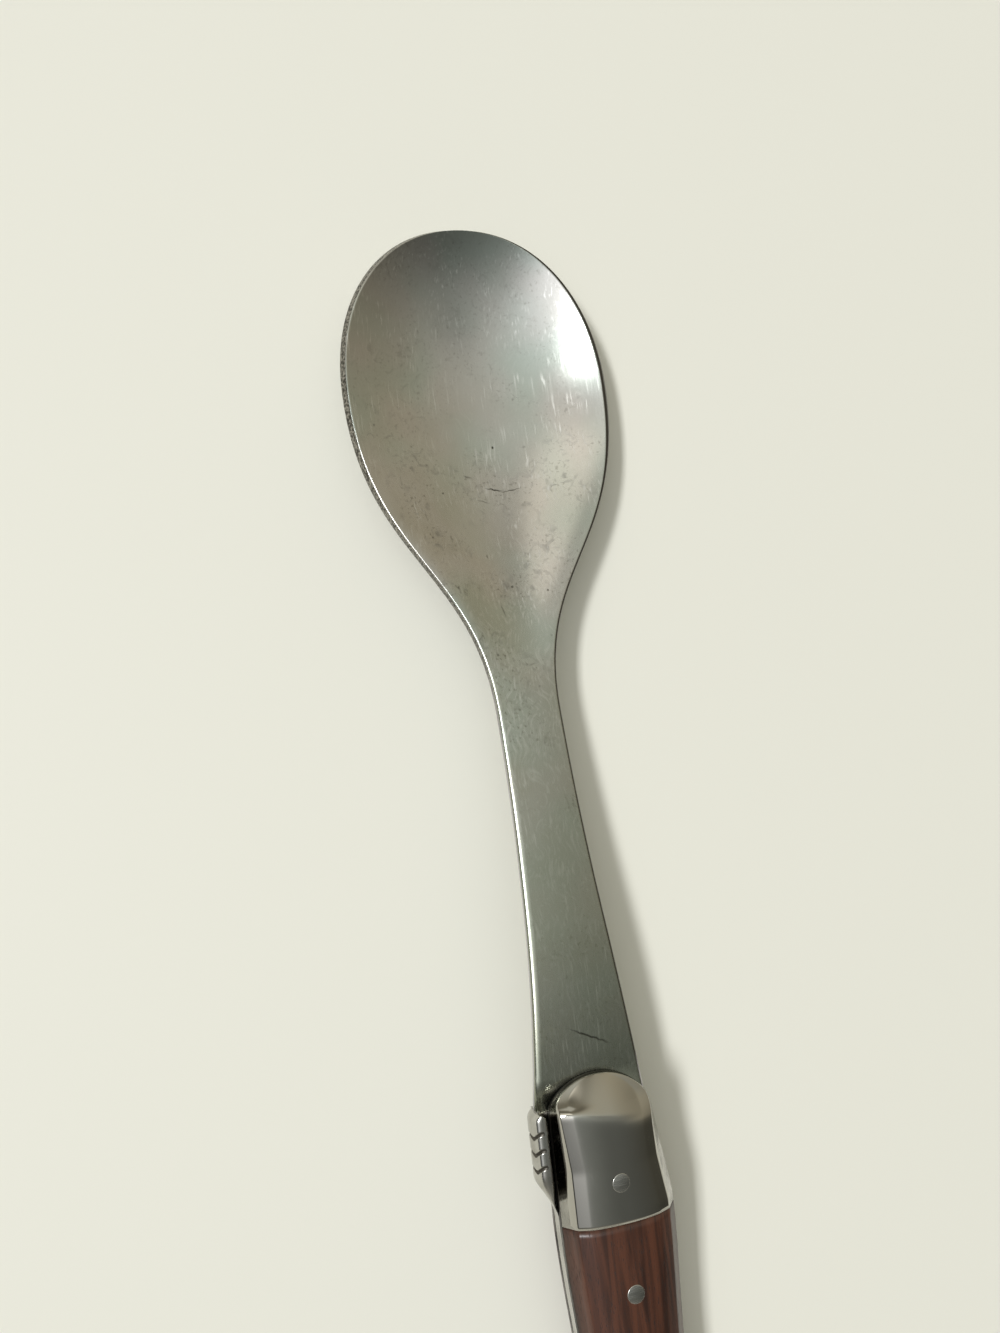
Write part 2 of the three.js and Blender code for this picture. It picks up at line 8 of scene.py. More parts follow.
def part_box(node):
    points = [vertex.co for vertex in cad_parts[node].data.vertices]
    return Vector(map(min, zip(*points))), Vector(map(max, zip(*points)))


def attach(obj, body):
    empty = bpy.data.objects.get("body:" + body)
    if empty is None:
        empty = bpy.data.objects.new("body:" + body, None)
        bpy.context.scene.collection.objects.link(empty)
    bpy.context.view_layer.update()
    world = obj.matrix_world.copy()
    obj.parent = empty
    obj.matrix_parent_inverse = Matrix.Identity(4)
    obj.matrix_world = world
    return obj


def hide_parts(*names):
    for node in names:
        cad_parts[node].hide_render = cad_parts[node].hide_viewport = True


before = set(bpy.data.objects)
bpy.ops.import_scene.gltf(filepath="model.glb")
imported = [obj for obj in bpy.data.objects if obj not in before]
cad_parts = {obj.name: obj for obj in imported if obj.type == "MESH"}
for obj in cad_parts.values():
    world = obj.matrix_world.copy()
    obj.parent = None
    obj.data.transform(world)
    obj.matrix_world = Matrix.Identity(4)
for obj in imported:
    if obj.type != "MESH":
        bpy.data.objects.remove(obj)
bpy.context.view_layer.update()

# Spoon head: one blank of stainless sheet, sheared to outline, its bowl dished and its shaft arched in a
# press, then tumbled and satin polished. The sheared edge stays rough, with its corner rubbed bright.
mm = 0.001

sheet = 2.5 * mm
bowl_sheet = 1.9 * mm
head_length = 154.5 * mm
bowl_width = 49.8 * mm
tip_to_widest = 31.1 * mm
tip_fullness = 2.17
neck_width = 11.7 * mm
tip_to_neck = 93 * mm
shoulder_pull = 32.6 * mm
neck_pull = 27.6 * mm
flare_radius = 569 * mm
bowl_depth = 7.5 * mm
tip_to_deepest = 37 * mm
tip_to_hollow_end = 89 * mm
tip_steepness = 2.6
hollow_fullness = 2.1
shoulder_flat_from = 28 * mm
shoulder_flat_to = 66 * mm
arch_radius = 130 * mm
arch_angle = math.radians(11)
rim_sweep_radius = 600 * mm
worn_bowl_corner = 0.3 * mm, 0.24 * mm
worn_shaft_corner = 1.2 * mm, 0.55 * mm
worn_shaft_underside = 1.2 * mm
worn_fade = 24 * mm
belly_corner = 0.6 * mm, 0.5 * mm
shaft_crown = 0.22 * mm
burr_round = 0.2 * mm
widest_corner = 1 / 6

handle_length = 100 * mm
handle_offset = -2.1 * mm
bolster_width = 19.7 * mm
bolster_length = 23 * mm
waist_width = 17.2 * mm
waist_at = 52 * mm
swell_width = 20.4 * mm
swell_at = 83 * mm
butt_length = 13 * mm
droop_from = 30 * mm
butt_droop = 3.4 * mm
spring_width = 4.2 * mm
notch_at = 4.8 * mm
tang_end = 68 * mm


def box_centre(node):
    low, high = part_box(node)
    return (Vector(low) + Vector(high)) / 2


# The handle's own axes: X from the rear pin to the bolster pin, Y to the spring, X = 0 at the bolsters' front
bolster_pin_at = 16.5 * mm
bolster_pin_centre = box_centre("bolster_pin")
along = bolster_pin_centre - box_centre("rear_scale_pin")
along.y = 0
along.normalize()
handle_axes = Matrix((along, (0, 1, 0), along.cross((0, 1, 0)))).transposed()
handle_origin = bolster_pin_centre + along * bolster_pin_at
handle_origin.y = 0
handle_frame = Matrix.Translation(handle_origin) @ handle_axes.to_4x4()


def clamp(value, low=0.0, high=1.0):
    return max(low, min(high, value))


def lerp(start, end, share):
    return start + (end - start) * share


def ease(value, start, end):
    share = clamp((value - start) / (end - start))
    return share * share * (3 - 2 * share)


def spread(start, end, steps):
    return [lerp(start, end, i / steps) for i in range(steps + 1)]


def crowd(start, end, steps):
    """Places from start to end that lie closest together at the start."""
    return [lerp(end, start, math.cos(math.pi / 2 * i / steps)) for i in range(steps + 1)]


def shoulder_half_width(from_tip):
    """Half of the blank's width on the curve from its widest place to the neck."""
    low, high = 0.0, 1.0
    halvings = 40
    for _ in range(halvings):
        t = (low + high) / 2
        reach = (3 * (1 - t) ** 2 * t * shoulder_pull + t ** 3 * (tip_to_neck - tip_to_widest)
                 + 3 * (1 - t) * t ** 2 * (tip_to_neck - tip_to_widest - neck_pull))
        low, high = (t, high) if reach < from_tip - tip_to_widest else (low, t)
    wide = (1 - t) ** 3 + 3 * (1 - t) ** 2 * t
    return lerp(neck_width, bowl_width, wide) / 2


def blank_half_width(from_tip):
    if from_tip < tip_to_widest:
        share = 1 - from_tip / tip_to_widest
        return bowl_width / 2 * (1 - share ** tip_fullness) ** (1 / tip_fullness)
    if from_tip < tip_to_neck:
        return shoulder_half_width(from_tip)
    flare = from_tip - tip_to_neck
    return neck_width / 2 + flare_radius - math.sqrt(flare_radius ** 2 - flare ** 2)


def body_half_width(back):
    waist = lerp(bolster_width, waist_width, ease(back, bolster_length, waist_at))
    return lerp(waist, swell_width, ease(back, waist_at, swell_at)) / 2


def middle_line(back):
    share = max(0, back - droop_from) / (handle_length - droop_from)
    return handle_offset - butt_droop * share ** 2


def butt_round(back):
    share = clamp((back - handle_length + butt_length) / butt_length)
    return math.sqrt(1 - share ** 2)


def body_back(back):
    return middle_line(back) + body_half_width(back) * butt_round(back)


def body_belly(back):
    full = middle_line(back) - body_half_width(back) * butt_round(back)
    return max(-blank_half_width(head_length + back), full)


def tang_back(back):
    return body_back(back) - spring_width


def blank_edges(front):
    """Where the blank's spring edge and belly edge run, this far in front of the bolsters."""
    half = blank_half_width(head_length - front)
    if front >= 0:
        return half, -half
    return (half if -front < notch_at else tang_back(-front)), body_belly(-front)


def hollow_depth(from_tip):
    if from_tip < tip_to_deepest:
        return bowl_depth * (1 - (1 - from_tip / tip_to_deepest) ** tip_steepness)
    share = clamp((from_tip - tip_to_deepest) / (tip_to_hollow_end - tip_to_deepest))
    return bowl_depth * (1 - share ** 2) ** 2


def hollow_share(from_tip, out):
    """How much of the hollow's depth is left this far out from its middle, up to 1 at the rim."""
    sloped = 1 - out ** hollow_fullness
    soft = (1 - out ** 2) ** 2
    return lerp(sloped, soft, ease(from_tip, shoulder_flat_from, shoulder_flat_to))


def spine(front):
    """The middle of the blank's upper face before it is dished: its place and its slope."""
    shank_from = arch_radius * arch_angle
    shank_to = head_length - tip_to_neck
    arch = clamp(front / arch_radius, 0, arch_angle)
    shank = clamp(front, shank_from, shank_to) - shank_from
    slope = max(0, front - shank_to) / rim_sweep_radius - arch
    x = min(front, 0) + arch_radius * math.sin(arch) + shank * math.cos(arch)
    z = sheet / 2 - arch_radius * (1 - math.cos(arch)) - shank * math.sin(arch)
    x += rim_sweep_radius * (math.sin(slope) + math.sin(arch))
    z += rim_sweep_radius * (math.cos(arch) - math.cos(slope))
    return x, z, slope


def upper_face(front, across):
    from_tip = head_length - front
    x, z, slope = spine(front)
    depth = hollow_depth(from_tip) * hollow_share(from_tip, abs(across))
    depth += shaft_crown * across ** 2 * ease(from_tip, tip_to_widest, tip_to_neck)
    back, belly = blank_edges(front)
    y = lerp(belly, back, (across + 1) / 2)
    return Vector((x + depth * math.sin(slope), y, z - depth * math.cos(slope)))


def upper_normal(front, across):
    probe = 0.01
    inside = clamp(across, probe - 1, 1 - probe)
    ahead = min(front, head_length - 2 * probe * mm)
    lengthways = upper_face(ahead + probe * mm, inside) - upper_face(ahead - probe * mm, inside)
    sideways = upper_face(ahead, inside + probe) - upper_face(ahead, inside - probe)
    return lengthways.cross(sideways).normalized()


def quarter_round(start, corner, end, steps):
    centre = start + end - corner
    angles = spread(0, math.pi / 2, steps)
    return [centre + (start - centre) * math.cos(a) + (end - centre) * math.sin(a) for a in angles]


blank_columns = 56
corner_steps = 5
# The belly side's upper corner takes the dark edge finish, as a painted shade line.
belly_corner_painted_shade = range(blank_columns + 1, blank_columns + corner_steps + 1)
spring_wall = 2 * blank_columns + 3 * corner_steps + 1


def blank_section(front):
    """A ring round the blank: its upper face, belly edge, underside and spring edge."""
    back, belly = blank_edges(front)
    wide = back - belly
    from_tip = head_length - front
    thickness = lerp(bowl_sheet, sheet, ease(from_tip, tip_to_deepest, tip_to_neck))
    wear = ease(from_tip, tip_to_neck - worn_fade, tip_to_neck + worn_fade)
    worn_corner = [lerp(bowl, shaft, wear) for bowl, shaft in zip(worn_bowl_corner, worn_shaft_corner)]
    corners = {1: worn_corner, -1: belly_corner}
    underside = {1: lerp(burr_round, worn_shaft_underside, wear), -1: burr_round}
    inset = {side: 1 - 2 * min(width / wide, widest_corner) for side, (width, _) in corners.items()}
    low, high = -inset[-1], inset[1]
    shares = [(1 + math.cos(turn)) / 2 for turn in spread(0, math.pi, blank_columns)]
    places = [lerp(low, high, share) for share in shares]

    def under(across, depth):
        return upper_face(front, across) - upper_normal(front, across) * depth

    upper = [upper_face(front, across) for across in places]
    lower = [under(across, thickness) for across in reversed(places)]

    def edge(side):
        corner_depth = corners[side][1]
        top = quarter_round(upper_face(front, side * inset[side]), upper_face(front, side),
                            under(side, corner_depth), corner_steps)
        bottom = quarter_round(under(side, thickness - underside[side]), under(side, thickness),
                               under(side * inset[side], thickness), corner_steps)
        return (top + bottom)[1:-1]

    return upper + edge(-1) + lower + edge(1)[::-1]


weld = 0.001 * mm


def skin(sections, second_finish=lambda column, row: False):
    """A closed skin over rings with as many points each; some of its faces take the second finish."""
    columns, rows = len(sections[0]), len(sections) - 1
    bm = bmesh.new()
    bmesh.ops.create_grid(bm, x_segments=columns, y_segments=rows, size=1)
    for face in bm.faces:
        middle = face.calc_center_median()
        if second_finish(int((middle.x + 1) / 2 * columns), int((middle.y + 1) / 2 * rows)):
            face.material_index = 1
    for vert in bm.verts:
        column = round((vert.co.x + 1) / 2 * columns) % columns
        row = round((vert.co.y + 1) / 2 * rows)
        vert.co = sections[row][column]
    bmesh.ops.remove_doubles(bm, verts=bm.verts, dist=weld)
    bmesh.ops.holes_fill(bm, edges=bm.edges, sides=0)
    return bm


def make_piece(bm, name, *finishes):
    bmesh.ops.transform(bm, matrix=handle_frame, verts=bm.verts)
    bmesh.ops.recalc_face_normals(bm, faces=bm.faces)
    if bm.calc_volume(signed=True) < 0:
        bmesh.ops.reverse_faces(bm, faces=bm.faces)
    for face in bm.faces:
        face.smooth = True
    data = bpy.data.meshes.new(name)
    bm.to_mesh(data)
    bm.free()
    for finish in finishes:
        data.materials.append(finish)
    piece = bpy.data.objects.new(name, data)
    bpy.context.collection.objects.link(piece)
    return piece


def colour(code):
    channels = [int(code[i:i + 2], 16) / 255 for i in (1, 3, 5)]
    return [c / 12.92 if c <= 0.04045 else ((c + 0.055) / 1.055) ** 2.4 for c in channels] + [1]


def new_finish(name):
    made = bpy.data.materials.new(name)
    made.use_nodes = True
    made.node_tree.nodes.clear()
    return made, made.node_tree


def add(tree, kind, inputs, **settings):
    """Add a node with its settings; inputs go by name or order, and a given node or socket is linked."""
    made = tree.nodes.new("ShaderNode" + kind)
    for key, value in settings.items():
        setattr(made, key, value)
    sockets = [socket for socket in made.inputs if socket.enabled]
    for key, value in inputs.items():
        socket = sockets[key] if isinstance(key, int) else next(s for s in sockets if s.name == key)
        if isinstance(value, bpy.types.Node):
            value = next(output for output in value.outputs if output.enabled)
        if isinstance(value, bpy.types.NodeSocket):
            tree.links.new(value, socket)
        else:
            socket.default_value = value
    return made


# Tumbled, satin-polished stainless: a soft grey gleam, clearest at the tip and hazier where use has scoured
# it, with lengthwise strokes, rubbed swirls on the shaft, brownish stains, dark flecks, pits and nicks.
cast_size = 15 * mm
stain_size = 11 * mm
smudge_size = 9 * mm
blotch_size = 2.1 * mm
fleck_size = 0.6 * mm
scour_size = 6.5 * mm
stroke_width = 0.42 * mm
stroke_stretch = 16
hairline_width = 0.16 * mm
swirl_size = 7 * mm
swirl_stretch = 9
rub_width = 0.45 * mm
ragged_by = 0.5 * mm
pit_spacing = 3.2 * mm
# Each nick: its place in mm, its turn in degrees, half its length and half its width in mm, and its depth
nicks = {"speck": ((86.1, -3), 20, (0.34, 0.26), 0.95),
         "hairline": ((77.3, -1.9), 76, (2, 0.18), 0.9),
         "hairline_tail": ((76.9, -5.1), 99, (2.1, 0.14), 0.7),
         "upper_dash": ((80.2, 3), 78, (0.9, 0.2), 0.45),
         "lower_dash": ((75, 0.7), 70, (1.3, 0.16), 0.4),
         "edge_pit": ((67.2, 12.6), 0, (0.26, 0.22), 0.55),
         "low_dash": ((63.6, 2.2), 5, (0.45, 0.16), 0.5),
         "neck_dash": ((52.5, 1.4), 12, (1.4, 0.18), 0.45),
         "neck_pit": ((55.6, -7.4), 0, (0.28, 0.22), 0.85),
         "shaft_scratch": ((-21.9, -0.9), 63, (4, 0.19), 0.85),
         "shaft_scratch_end": ((-22.8, -2.6), 58, (1.9, 0.15), 0.75)}
satin_steel, tree = new_finish("satin_stainless_sheet")
coordinates = add(tree, "TexCoord", {}).outputs
place = coordinates["Object"]
upward = add(tree, "SeparateXYZ", {"Vector": coordinates["Normal"]}).outputs["Z"]
toward_tip, toward_spring, _ = add(tree, "SeparateXYZ", {"Vector": place}).outputs

cast = add(tree, "TexNoise", {"Vector": place, "Scale": 1 / cast_size, "Detail": 1})
cast = add(tree, "MapRange", {"Value": cast, "From Min": 0.38, "From Max": 0.62})
steel = add(tree, "Mix", {"Factor": cast, "A": colour("#bab7b2"), "B": colour("#b3b8b1")}, data_type="RGBA")

stained = add(tree, "MapRange", {"Value": toward_tip, "From Min": 95 * mm, "From Max": 55 * mm,
                                 "To Min": 0.12, "To Max": 0.38})
stained = add(tree, "MapRange", {"Value": toward_spring, "From Min": -15 * mm, "From Max": 8 * mm,
                                 "To Min": 0.05, "To Max": stained})
stain = add(tree, "TexNoise", {"Vector": place, "Scale": 1 / stain_size, "Detail": 4})
stain = add(tree, "MapRange", {"Value": stain, "From Min": 0.42, "From Max": 0.68, "To Max": stained})
steel = add(tree, "Mix", {"Factor": stain, "A": steel, "B": colour("#968f78")}, data_type="RGBA")

smudged = add(tree, "MapRange", {"Value": toward_tip, "From Min": 95 * mm, "From Max": 55 * mm,
                                 "To Min": 0.24, "To Max": 0.58})
smudge_zone = add(tree, "TexNoise", {"Vector": place, "Scale": 1 / smudge_size, "Detail": 1})
smudge_zone = add(tree, "MapRange", {"Value": smudge_zone, "From Min": 0.4, "From Max": 0.6,
                                     "To Max": smudged})
smudge = add(tree, "TexNoise", {"Vector": place, "Scale": 1 / blotch_size, "Detail": 5, "Distortion": 1.2})
smudge = add(tree, "MapRange", {"Value": smudge, "From Min": 0.54, "From Max": 0.74, "To Max": smudge_zone})
steel = add(tree, "Mix", {"Factor": smudge, "A": steel, "B": colour("#5a564c")}, data_type="RGBA")

wander = add(tree, "TexNoise", {"Vector": place, "Scale": 1 / (2 * ragged_by)}).outputs["Color"]
wander = add(tree, "VectorMath", {0: wander, 1: (-0.5, -0.5, -0.5)})
ragged = add(tree, "VectorMath", {0: wander, 1: [ragged_by] * 3, 2: place}, operation="MULTIPLY_ADD")
fleck = add(tree, "TexNoise", {"Vector": ragged, "Scale": 1 / fleck_size, "Detail": 3})
fleck = add(tree, "MapRange", {"Value": fleck, "From Min": 0.59, "From Max": 0.7, "To Max": smudge_zone})
steel = add(tree, "Mix", {"Factor": fleck, "A": steel, "B": colour("#5f5a4f")}, data_type="RGBA")

rubbed = add(tree, "MapRange", {"Value": toward_tip, "From Min": 70 * mm, "From Max": 35 * mm,
                                "To Min": 0.08, "To Max": 0.5})
swirl = add(tree, "TexNoise", {"Vector": place, "Scale": 1 / swirl_size, "Detail": 1}).outputs["Color"]
swirl = add(tree, "VectorMath", {0: swirl, 1: [swirl_size] * 3, 2: place}, operation="MULTIPLY_ADD")
swirl = add(tree, "Mapping", {"Vector": swirl, "Scale": (1 / swirl_stretch, 1, 1)})
rub = add(tree, "TexNoise", {"Vector": swirl, "Scale": 1 / rub_width, "Detail": 1})
rub = add(tree, "MapRange", {"Value": rub, "From Min": 0.52, "From Max": 0.74, "To Max": rubbed})
steel = add(tree, "Mix", {"Factor": rub, "A": steel, "B": colour("#dadad6")}, data_type="RGBA")

lengthwise = add(tree, "Mapping", {"Vector": place, "Scale": (1 / stroke_stretch, 1, 1)})
scoured = add(tree, "TexNoise", {"Vector": place, "Scale": 1 / scour_size})
scoured = add(tree, "MapRange", {"Value": scoured, "From Min": 0.42, "From Max": 0.6, "To Max": 0.45})
stroke = add(tree, "TexNoise", {"Vector": lengthwise, "Scale": 1 / stroke_width, "Detail": 1,
                                "Distortion": 0.4})
stroke = add(tree, "MapRange", {"Value": stroke, "From Min": 0.57, "From Max": 0.74, "To Max": scoured})
steel = add(tree, "Mix", {"Factor": stroke, "A": steel, "B": colour("#dddcd8")}, data_type="RGBA")

# Painted shade: the colour turns darker and greener toward the handle, standing in for the shaft's dimmer
# reflection there.
painted_shade_toward_handle = add(tree, "MapRange", {"Value": toward_tip, "From Min": 62 * mm, "From Max": 0, "To Max": 0.66})
steel = add(tree, "Mix", {"Factor": painted_shade_toward_handle, "A": steel, "B": colour("#8a8d7a")}, data_type="RGBA")

pitted = add(tree, "MapRange", {"Value": toward_tip, "From Min": 112 * mm, "From Max": 70 * mm,
                                "To Min": 0.1, "To Max": 0.75})
pitted = add(tree, "MapRange", {"Value": toward_tip, "From Min": 10 * mm, "From Max": 45 * mm,
                                "To Min": 0.07, "To Max": pitted})
cells = add(tree, "TexVoronoi", {"Vector": ragged, "Scale": 1 / pit_spacing})
chance = add(tree, "SeparateXYZ", {"Vector": cells.outputs["Color"]})
chance = add(tree, "MapRange", {"Value": chance, "From Min": 0.55, "From Max": 0.9, "To Max": pitted})
pit = add(tree, "MapRange", {"Value": cells, "From Min": 0.1, "From Max": 0.05, "To Max": chance})
upper_side = add(tree, "MapRange", {"Value": upward, "From Max": 0.2})
for (x, y), turned, (half_length, half_width), depth in nicks.values():
    spot = add(tree, "Mapping", {"Vector": ragged, "Location": (x * mm, y * mm, 0),
                                 "Rotation": (0, 0, math.radians(turned)),
                                 "Scale": (half_length * mm, half_width * mm, 1)}, vector_type="TEXTURE")
    off = add(tree, "VectorMath", {0: spot}, operation="LENGTH")
    nick = add(tree, "MapRange", {"Value": off, "From Min": 1.1, "From Max": 0.4, "To Max": depth})
    nick = add(tree, "Math", {0: nick, 1: upper_side}, operation="MULTIPLY")
    pit = add(tree, "Math", {0: pit, 1: nick}, operation="MAXIMUM")
steel = add(tree, "Mix", {"Factor": pit, "A": steel, "B": colour("#3a362f")}, data_type="RGBA")

hairline = add(tree, "TexNoise", {"Vector": lengthwise, "Scale": 1 / hairline_width})
gloss = add(tree, "MapRange", {"Value": toward_tip, "From Min": 122 * mm, "From Max": 78 * mm,
                               "To Min": 0.11, "To Max": 0.25})
gloss = add(tree, "Math", {0: hairline, 1: 0.04, 2: gloss}, operation="MULTIPLY_ADD")
gloss = add(tree, "Math", {0: stroke, 1: 0.25, 2: gloss}, operation="MULTIPLY_ADD")
gloss = add(tree, "Math", {0: smudge, 1: 0.3, 2: gloss}, operation="MULTIPLY_ADD")
relief = add(tree, "Math", {0: stroke, 1: 0.3}, operation="MULTIPLY")
relief = add(tree, "Math", {0: hairline, 1: 0.12, 2: relief}, operation="MULTIPLY_ADD")
relief = add(tree, "Math", {0: relief, 1: pit}, operation="SUBTRACT")
relief = add(tree, "Bump", {"Height": relief, "Distance": 0.02 * mm, "Strength": 0.5})
shader = add(tree, "BsdfPrincipled", {"Base Color": steel, "Metallic": 1, "Roughness": gloss,
                                      "Normal": relief})
add(tree, "OutputMaterial", {"Surface": shader})

# Sheared stainless: the torn edge of the sheet reads as a dark band, speckled where its grains catch the
# light. On the spring's side of the shaft the hand has rubbed it bright, and the tang is ground flush. On the
# belly side the edge is painted plain dark, as painted shade, and the belly side's upper corner wears it as a
# dark line.
torn_grain = 0.45 * mm
sheared_edge, tree = new_finish("sheared_stainless_edge")
place = add(tree, "TexCoord", {}).outputs["Object"]
toward_tip, toward_spring, _ = add(tree, "SeparateXYZ", {"Vector": place}).outputs
torn = add(tree, "TexNoise", {"Vector": place, "Scale": 1 / torn_grain, "Detail": 3})
speck = add(tree, "MapRange", {"Value": torn, "From Min": 0.42, "From Max": 0.64})
# Painted shade: toward the belly side the specks fade out and the edge is left plain dark.
speck = add(tree, "MapRange", {"Value": toward_spring, "From Min": -6 * mm, "From Max": 4 * mm,
                               "To Max": speck})
torn_steel_and_belly_shade = add(tree, "Mix", {"Factor": speck, "A": colour("#4a4741"), "B": colour("#a8a49b")},
                 data_type="RGBA")
handled = add(tree, "MapRange", {"Value": toward_tip, "From Min": 44 * mm, "From Max": 18 * mm,
                                 "To Max": 0.9})
handled = add(tree, "MapRange", {"Value": toward_spring, "From Min": -1 * mm, "From Max": 1 * mm,
                                 "To Max": handled})
ground = add(tree, "MapRange", {"Value": toward_tip, "From Min": -26 * mm, "From Max": -30 * mm,
                                "To Max": 0.9})
handled = add(tree, "Math", {0: handled, 1: ground}, operation="MAXIMUM")
torn_steel_and_belly_shade = add(tree, "Mix", {"Factor": handled, "A": torn_steel_and_belly_shade, "B": colour("#c9c6cb")}, data_type="RGBA")
gloss = add(tree, "MapRange", {"Value": handled, "To Min": 0.42, "To Max": 0.26})
relief = add(tree, "Bump", {"Height": torn, "Distance": 0.04 * mm, "Strength": 0.5})
shader = add(tree, "BsdfPrincipled", {"Base Color": torn_steel_and_belly_shade, "Metallic": 1, "Roughness": gloss,
                                      "Normal": relief})
add(tree, "OutputMaterial", {"Surface": shader})

tip_rows = 80
shoulder_rows = 84
shaft_rows = 44
tang_rows = 24
tip_flat = 0.0006 * mm
half_step = 0.02 * mm
stations = crowd(head_length - tip_flat, head_length - tip_to_widest, tip_rows)[:-1]
stations += spread(head_length - tip_to_widest, head_length - tip_to_neck, shoulder_rows)[:-1]
stations += spread(head_length - tip_to_neck, 0, shaft_rows)
stations += [-notch_at + half_step] + spread(-notch_at - half_step, -tang_end, tang_rows)
blank = skin([blank_section(front) for front in stations],
             lambda column, row: column in belly_corner_painted_shade or column == spring_wall)
end_faces = [face for face in blank.faces if len(face.verts) > 4]
for face in end_faces:
    face.material_index = 1
head = make_piece(blank, "pressed_spoon_head", satin_steel, sheared_edge)
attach(head, "root")
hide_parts("spoon_head")

# Back spring: a hardened steel bar let in beside the tang, as thick as the blank, which fills the butt
# behind it. Its head stands proud of the handle's back, round-nosed and crowned, with filed W grooves.
side_gap = 0.2 * mm
spring_front = notch_at + side_gap
spring_tail = tang_end + side_gap
head_step = 0.55 * mm
head_width = 2.5 * mm
head_thickness = 5 * mm
head_crown = 0.95 * mm
taper_start = spring_front + 9.5 * mm
head_end = taper_start + 8 * mm
head_foot = body_back(notch_at) + head_step
head_crest = head_foot + head_width
flank_round = 0.35 * mm
groove_at = spring_front + 2.9 * mm
groove_pitch = 2.7 * mm
groove_count = 3
groove_width = 0.9 * mm
groove_depth = 0.42 * mm
groove_rake = 1 * mm
last_groove = groove_at + (groove_count - 1) * groove_pitch
rake_end = head_end - 4 * mm
crown_turn = 0.6
least_foot = 0.02 * mm
least_brow = 0.01 * mm


def spring_back(back):
    return lerp(head_crest, body_back(back), ease(back, taper_start, head_end))


def groove_cut(back):
    off = min(abs(back - groove_at - i * groove_pitch) for i in range(groove_count))
    return groove_depth * clamp(1 - 2 * off / groove_width)


def groove_lean(back, z):
    """How far the W of the grooves runs back at this height of the crown."""
    share = 2 * abs(z) / head_thickness
    dip = lerp(0.5, 1, share * 2) if share < 0.5 else lerp(1, 0, clamp(share * 2 - 1))
    starts = ease(back, spring_front + head_width / 2, groove_at - groove_width / 2)
    return groove_rake * dip * starts * (1 - ease(back, last_groove + groove_width / 2, rake_end))


face_steps = 4
crown_steps = 24
crown_columns = range(face_steps + 4, face_steps + 6 + crown_steps)


def spring_section(back):
    nose = head_width / 2
    ahead = nose - min(nose, back - spring_front)
    nose_half = math.sqrt(max(0, nose ** 2 - ahead ** 2))
    in_head = back < head_end
    cut = groove_cut(back) if in_head else 0
    crest = min(spring_back(back), head_foot + nose + nose_half) if in_head else body_back(back)
    foot = min(head_foot + nose - nose_half if in_head else head_foot, crest - least_foot)
    half = lerp(head_thickness, sheet, ease(back, taper_start, head_end)) / 2
    drop = head_crown * (half / (head_thickness / 2)) ** 2 * ease(half, sheet / 2, head_thickness / 2)
    inner = tang_back(back) + side_gap if back < spring_tail else body_belly(back)
    brow = max(crest - drop, foot + least_brow)
    turn = min(flank_round, (brow - foot) / 2)
    bar_top = [Vector((-back, y, sheet / 2)) for y in spread(inner, foot, face_steps)]
    rise = [Vector((-back, foot, z)) for z in spread(sheet / 2, half, 2)[1:]]
    flank = [Vector((-back, y, half)) for y in spread(foot, max(brow - turn - cut, foot), 3)[1:]]
    upper = bar_top + rise + flank
    crown = []
    for z in spread(half - turn * crown_turn, turn * crown_turn - half, crown_steps):
        y = lerp(brow, crest, 1 - (z / half) ** 2) - cut
        crown.append(Vector((-back - groove_lean(back, z), max(y, foot), z)))
    lower = [Vector((point.x, point.y, -point.z)) for point in reversed(upper)]
    return upper + crown + lower


nose_flat = 0.004 * mm
butt_flat = 0.02 * mm
tail_step = 0.02 * mm
groove_lip = 0.03 * mm
butt_start = handle_length - butt_length
butt_end = handle_length - butt_flat
round_rows = 12
land_rows = 6
groove_rows = 8
lead_rows = 4
taper_rows = 24
bar_rows = 24
tail_rows = 10
butt_rows = 20
stations = crowd(spring_front + nose_flat, spring_front + head_width / 2, round_rows)[:-1]
at = spring_front + head_width / 2
for i in range(groove_count):
    groove_start = groove_at + i * groove_pitch - groove_width / 2
    stations += spread(at, groove_start - groove_lip, land_rows)
    stations += spread(groove_start, groove_start + groove_width, groove_rows)
    at = groove_start + groove_width + groove_lip
stations += spread(at, taper_start, lead_rows)[:-1] + spread(taper_start, head_end, taper_rows)
stations += spread(head_end, spring_tail - tail_step, bar_rows)[1:]
stations += spread(spring_tail, butt_start, tail_rows)[:-1] + crowd(butt_end, butt_start, butt_rows)[::-1]

# Filed and buffed spring steel: greyer than the bolsters, with soft smears where the file marks are worn.
smear_size = 2.2 * mm
smear_stretch = 3
spring_steel, tree = new_finish("buffed_spring_steel")
place = add(tree, "TexCoord", {}).outputs["Object"]
drawn = add(tree, "Mapping", {"Vector": place, "Scale": (1 / smear_stretch, 1, 1)})
smear = add(tree, "TexNoise", {"Vector": drawn, "Scale": 1 / smear_size, "Detail": 3, "Distortion": 0.5})
smear = add(tree, "MapRange", {"Value": smear, "From Min": 0.36, "From Max": 0.68})
steel = add(tree, "Mix", {"Factor": smear, "A": colour("#bfbdb7"), "B": colour("#a3a099")}, data_type="RGBA")
gloss = add(tree, "MapRange", {"Value": smear, "To Min": 0.2, "To Max": 0.34})
shader = add(tree, "BsdfPrincipled", {"Base Color": steel, "Metallic": 1, "Roughness": gloss})
add(tree, "OutputMaterial", {"Surface": shader})

# The file cuts are coloured dark, as painted shade in the grooves, which draws them as dark lines.
shade_from = 0.2
painted_shade_in_cuts, tree = new_finish("file_cuts_painted_shade")
shader = add(tree, "BsdfPrincipled", {"Base Color": colour("#5b5751"), "Metallic": 1, "Roughness": 0.45})
add(tree, "OutputMaterial", {"Surface": shader})

